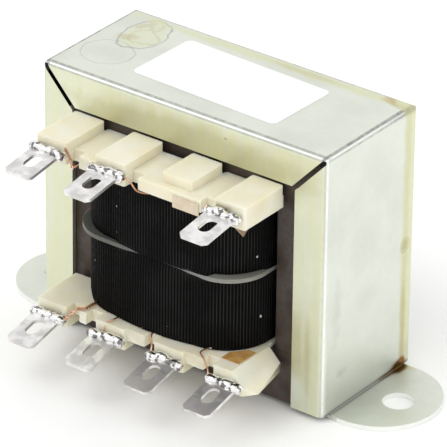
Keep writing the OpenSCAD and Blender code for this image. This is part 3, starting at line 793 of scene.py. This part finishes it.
def stain_at(tree, position, centre, reach, softness, ragged):
    """Places a stain in a material, with its centre and reach in millimetres; it also places patches of
    painted shade.
    """
    node = add(tree, "ShaderNodeGroup", node_tree=stain)
    tree.links.new(position, node.inputs["Position"])
    node.inputs["Centre"].default_value = [MM * v for v in centre]
    node.inputs["Reach"].default_value = [MM * v for v in reach]
    node.inputs["Softness"].default_value = softness
    node.inputs["Ragged"].default_value = ragged
    return node.outputs


# Bend: where a painted highlight lies along the crest of a bend between two faces, and where lines of
# painted shade run beside it into the faces, from how far a point lies behind each face
fold, given, result = new_group(
    "Bend", [("First depth", "NodeSocketFloat"), ("Second depth", "NodeSocketFloat"),
             ("Radius", "NodeSocketFloat")], list(BEND_LINES))
turned = math_node(fold, "SUBTRACT", given["First depth"], given["Second depth"])
turned = math_node(fold, "DIVIDE", turned, given["Radius"])
shallow = math_node(fold, "MINIMUM", given["First depth"], given["Second depth"])
outside = math_node(fold, "LESS_THAN", shallow, math_node(fold, "MULTIPLY", given["Radius"], 0.4))
for label, (centre, half) in BEND_LINES.items():
    off = math_node(fold, "ABSOLUTE", math_node(fold, "SUBTRACT", turned, centre))
    line = ramp(fold, off, 0.5 * half, half, 1.0, 0.0)
    fold.links.new(math_node(fold, "MULTIPLY", line, outside), result[label])

low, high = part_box("channel_frame")
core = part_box("e_laminations")[1]
wall = (core.x + high.y - core.y) / MM
front = low.y / MM
roof = high.z / MM

zinc, tree, shader, place = new_material("zinc plated steel", Metallic=0.85, Roughness=0.4)
clouds = mottle(tree, place, ZINC_PATCH)
colour = blend_colour(tree, clouds["Patches"], ZINC_PALE, ZINC_GREY)
spot = add(tree, "ShaderNodeSeparateXYZ", {0: place}).outputs
on_front = ramp(tree, spot["Y"], (front + 0.05) * MM, (front + 0.25) * MM, 1.0, 0.0)
drawn_out = vector_math(tree, "MULTIPLY", place, STREAK_SCALE)
streaks = add(tree, "ShaderNodeTexNoise", {"Vector": drawn_out, "Scale": 1.0, "Detail": 3.0}).outputs["Fac"]
washed = math_node(tree, "MULTIPLY", on_front, ramp(tree, streaks, 0.25, 0.7, 0.35, 0.8))
colour = blend_colour(tree, washed, colour, VARNISH_YELLOW)
depths = {"top": math_node(tree, "SUBTRACT", roof * MM, spot["Z"]),
          "side": math_node(tree, "SUBTRACT", wall * MM, math_node(tree, "ABSOLUTE", spot["X"])),
          "front": math_node(tree, "SUBTRACT", -front * MM, math_node(tree, "ABSOLUTE", spot["Y"]))}
# Each bend gets a painted highlight on its crest and painted shade along its two edges
for first, second, lines in (("top", "front", (0.9, 0.6, 0.4)), ("top", "side", (0.9, 0.8, 0.45)),
                             ("side", "front", (0.9, 0.0, 0.2))):
    bent = add(tree, "ShaderNodeGroup", node_tree=fold)
    tree.links.new(depths[first], bent.inputs["First depth"])
    tree.links.new(depths[second], bent.inputs["Second depth"])
    bent.inputs["Radius"].default_value = BEND * MM
    for label, weight, shade in zip(BEND_LINES, lines, (ZINC_SHINE, ZINC_STAIN_AND_SHADE, ZINC_STAIN_AND_SHADE)):
        patchy = ramp(tree, clouds["Speckle"], 0, 1, 0.6 * weight, weight)
        painted_light = math_node(tree, "MULTIPLY", patchy, bent.outputs[label])
        colour = blend_colour(tree, painted_light, colour, shade)

# Each stain, and each patch of painted shade, has a colour, its centre and reach in millimetres, its
# softness and raggedness, and which part of it shows how strongly
STAINS = [
    (VARNISH_OLIVE, (2, front, roof - 4.4), (27, 1, 3.6), 0.6, 0.6, "Mask", 0.42),
    (VARNISH_OLIVE, (20.3, front, 10), (5, 1, 9), 0.7, 0.5, "Mask", 0.4),
    (VARNISH_YELLOW, (-18.4, 4.3, roof), (3.4, 5.2, 1), 0.25, 0.4, "Mask", 0.5),
    (VARNISH_OLIVE, (-18.4, 4.3, roof), (2.6, 4.2, 1), 0.5, 2.6, "Rim", 0.3),
    (ZINC_STAIN_AND_SHADE, (-18.4, 4.3, roof), (3.5, 5.3, 1), 0.12, 0.4, "Rim", 0.45),
    (VARNISH_AMBER, (-20.6, 2.2, roof), (2.0, 1.7, 1), 0.6, 2.0, "Mask", 0.3),
    (ZINC_STAIN_AND_SHADE, (-19.3, -3.2, roof), (4.2, 4.0, 1), 0.1, 0.2, "Rim", 0.25),
    (VARNISH_YELLOW, (6, 9.0, roof), (40, 1.3, 1.5), 0.6, 1.0, "Mask", 0.75),
    (VARNISH_OLIVE, (6.5, 8.9, roof), (9, 1.0, 1), 0.7, 0.9, "Mask", 0.25),
    (VARNISH_AMBER, (23.8, 9.6, roof), (4.4, 2.0, 1.5), 0.5, 0.6, "Mask", 0.6),
    (VARNISH_YELLOW, (wall, 11.0, 25), (4, 3.8, 90), 0.25, 0.3, "Mask", 0.85),
    (VARNISH_OLIVE, (wall, 8.5, 25), (4, 1.1, 90), 0.8, 0.6, "Mask", 0.2),
    (VARNISH_AMBER, (wall, 8.4, 6), (4, 0.9, 14), 0.8, 0.9, "Mask", 0.35),
    (VARNISH_OLIVE, (wall, 8.5, 20.6), (1, 1.2, 1.3), 0.6, 0.9, "Mask", 0.6),
    (VARNISH_AMBER, (wall, 8.5, 20.6), (1, 1.3, 1.4), 0.35, 0.4, "Rim", 0.3),
    # Darker towards the bottom of the right wall
    (ZINC_STAIN_AND_SHADE, (wall, 0, 0), (1, 40, 7), 0.7, 0.3, "Mask", 0.14),
    (ZINC_STAIN_AND_SHADE, (wall, -6.5, 6.5), (1, 1.8, 0.9), 0.9, 1.2, "Mask", 0.2),
    (ZINC_STAIN_AND_SHADE, (wall, -8.0, 17), (1, 1.3, 7), 0.9, 2.2, "Mask", 0.12),
    (ZINC_PALE, (20.5, front, 3.5), (2.4, 1, 3.8), 0.8, 0.6, "Mask", 0.7),
    (ZINC_PALE, (21.5, front, 13), (0.6, 1, 8), 0.8, 0.4, "Mask", 0.4),
    (VARNISH_OLIVE, (22.4, front, 9), (0.6, 1, 10), 0.8, 0.4, "Mask", 0.25),
    (VARNISH_YELLOW, (23.4, front, 15), (0.5, 1, 30), 0.8, 0.4, "Mask", 0.5),
    # Painted shade in the crease between the right wall and its ear, and over the ear beside the wall
    (ZINC_STAIN_AND_SHADE, (wall + 0.1, 0, 0.9), (0.4, 60, 0.4), 0.8, 0.2, "Mask", 0.75),
    (ZINC_STAIN_AND_SHADE, (wall + 1, 0, 0.8), (5, 16, 1), 0.9, 0.3, "Mask", 0.25),
    (VARNISH_BROWN, (wall + 0.1, 5.6, 0.9), (0.6, 4.2, 0.6), 0.6, 0.8, "Mask", 0.7),
    (VARNISH_BROWN, (wall + 0.2, 7.6, 1.1), (1.3, 2.1, 1.4), 0.5, 0.8, "Mask", 1.0),
    (VARNISH_ORANGE, (wall, 8.5, 1.8), (0.9, 1.0, 0.8), 0.8, 0.5, "Mask", 0.9),
    (VARNISH_OLIVE, (7.6, front, 39.8), (0.45, 1, 0.3), 0.5, 1.0, "Mask", 0.9)]
for shade, centre, reach, softness, ragged, part, weight in STAINS:
    mask = stain_at(tree, place, centre, reach, softness, ragged)[part]
    colour = blend_colour(tree, math_node(tree, "MULTIPLY", mask, weight), colour, shade)

# The cut edges of the ears are bright
cut = ramp(tree, spot["Z"], CUT_LOW * MM, CUT_HIGH * MM, 1.0, 0.0)
cut = math_node(tree, "MULTIPLY", cut, math_node(tree, "LESS_THAN", depths["side"], -EAR_START * MM))
colour = blend_colour(tree, math_node(tree, "MULTIPLY", cut, 0.7), colour, ZINC_SHINE)

# The mitre slots run from the window's corners to the bends, and they are painted black as shade, which
# reaches on along the bends at the front
run = Vector((SIDE_FLANGE - BEND, TOP_FLANGE - BEND)).normalized()
out = math_node(tree, "SUBTRACT", math_node(tree, "ABSOLUTE", spot["X"]), (wall - SIDE_FLANGE) * MM)
rise = math_node(tree, "SUBTRACT", spot["Z"], (roof - TOP_FLANGE) * MM)
off_line = math_node(tree, "MULTIPLY", out, run.y)
off_line = math_node(tree, "SUBTRACT", off_line, math_node(tree, "MULTIPLY", rise, run.x))
off_line = math_node(tree, "ABSOLUTE", off_line)
slot_shade = ramp(tree, off_line, 0.5 * MITRE_GAP * MM, 0.65 * MITRE_GAP * MM, 1.0, 0.0)
top_end = ramp(tree, spot["Y"], -MM, MM, 0.4 * BEND * MM, BEND * MM)
limits = (("GREATER_THAN", rise, 0.0), ("GREATER_THAN", depths["top"], top_end),
          ("GREATER_THAN", depths["side"], 0.4 * BEND * MM), ("LESS_THAN", depths["front"], 0.9 * BEND * MM))
for test, value, limit in limits:
    slot_shade = math_node(tree, "MULTIPLY", slot_shade, math_node(tree, test, value, limit))
colour = blend_colour(tree, slot_shade, colour, SLOT_SHADE)
tree.links.new(colour, shader.inputs["Base Color"])
tree.links.new(ramp(tree, clouds["Speckle"], 0, 1, 0.36, 0.46), shader.inputs["Roughness"])
bump(tree, shader, clouds["Speckle"], ZINC_GRAIN, 0.4)
new_piece("bent_bracket", softened("channel_frame", BRACKET_EDGE), zinc,
          "channel_frame")

# Label
# A white paper label with round corners and a slight grain, stuck to the top of the bracket by hand, so it
# sits a little askew.
LABEL_EDGE = 0.02 * MM
PAPER = (0.900, 0.900, 0.900, 1)
PAPER_GREY = (0.780, 0.780, 0.785, 1)
PAPER_PATCH = 5 * MM

paper, tree, shader, place = new_material("label paper", Roughness=0.55)
clouds = mottle(tree, place, PAPER_PATCH)
fibres = math_node(tree, "MULTIPLY", clouds["Speckle"], 0.3)
tree.links.new(blend_colour(tree, fibres, PAPER, PAPER_GREY), shader.inputs["Base Color"])
new_piece("top_label", softened("paper_label", LABEL_EDGE), paper, "paper_label")

# Stage
# A plain pale floor and a white surround, with a large soft lamp up to the left, a weaker one to the right
# and the camera at the photograph's place: a long lens, from the right and a little above.
FRAME_PX = 447
FOCAL_PX = 5000
SENSOR = 36
BACK = Vector((0.52423, -0.70566, 0.47668))
ROLL = math.radians(-0.7251)
SHIFT_RIGHT = 0.3002 * MM
SHIFT_DOWN = 16.870 * MM
DISTANCE = 727.138 * MM
FLOOR_WHITE = (0.975, 0.975, 0.970, 1)
FLOOR_GREY = (0.8, 0.8, 0.8, 1)
FLOOR_PATCH = 60 * MM
FLOOR_HALF = 4.0
FLOOR_GAP = 0.02 * MM
LAMP_AIM = (0, 0, 0.02)

camera = bpy.data.objects.new("camera", bpy.data.cameras.new("camera"))
camera.data.sensor_width = SENSOR
camera.data.lens = SENSOR * FOCAL_PX / FRAME_PX
camera.data.clip_start = 0.01
right = Vector((-BACK.y, BACK.x, 0)).normalized()
down = -BACK.cross(right)
rolled_right = math.cos(ROLL) * right + math.sin(ROLL) * down
rolled_down = math.cos(ROLL) * down - math.sin(ROLL) * right
stand = Matrix.Translation(DISTANCE * BACK - SHIFT_RIGHT * rolled_right - SHIFT_DOWN * rolled_down)
camera.matrix_world = stand @ Matrix((rolled_right, -rolled_down, BACK)).transposed().to_4x4()
bpy.context.scene.collection.objects.link(camera)
bpy.context.scene.camera = camera

ground = bmesh.new()
bmesh.ops.create_grid(ground, x_segments=1, y_segments=1, size=FLOOR_HALF)
bmesh.ops.translate(ground, vec=(0, 0, cad_box[0].z - FLOOR_GAP), verts=ground.verts[:])
mesh = bpy.data.meshes.new("floor")
ground.to_mesh(mesh)
ground.free()
floor_paint, tree, shader, place = new_material("pale floor", Roughness=0.8)
clouds = mottle(tree, place, FLOOR_PATCH)
faint = math_node(tree, "MULTIPLY", clouds["Patches"], 0.01)
tree.links.new(blend_colour(tree, faint, FLOOR_WHITE, FLOOR_GREY), shader.inputs["Base Color"])
mesh.materials.append(floor_paint)
floor = bpy.data.objects.new("floor", mesh)
bpy.context.scene.collection.objects.link(floor)

world = bpy.data.worlds.new("white surround")
world.use_nodes = True
bpy.context.scene.world = world
tree = world.node_tree
light_path = add(tree, "ShaderNodeLightPath").outputs
seen = math_node(tree, "MAXIMUM", light_path["Is Camera Ray"], light_path["Is Glossy Ray"])
seen = math_node(tree, "MAXIMUM", seen, light_path["Is Transmission Ray"])
surround = tree.nodes["Background"]
surround.inputs["Color"].default_value = (1, 1, 1, 1)
tree.links.new(ramp(tree, seen, 0, 1, 1.02, 1.0), surround.inputs["Strength"])


def soft_lamp(name, place, aim, size, power):
    """A square area lamp that points at a spot."""
    lamp = bpy.data.objects.new(name, bpy.data.lights.new(name, "AREA"))
    lamp.data.size = size
    lamp.data.energy = power
    lamp.location = place
    lamp.rotation_euler = (Vector(aim) - Vector(place)).to_track_quat("-Z", "Y").to_euler()
    bpy.context.scene.collection.objects.link(lamp)


soft_lamp("key", place=(-0.25, -0.35, 0.65), aim=LAMP_AIM, size=0.45, power=1.0)
soft_lamp("side", place=(0.6, -0.15, 0.35), aim=LAMP_AIM, size=0.35, power=0.5)
bpy.context.scene.view_settings.view_transform = "Standard"
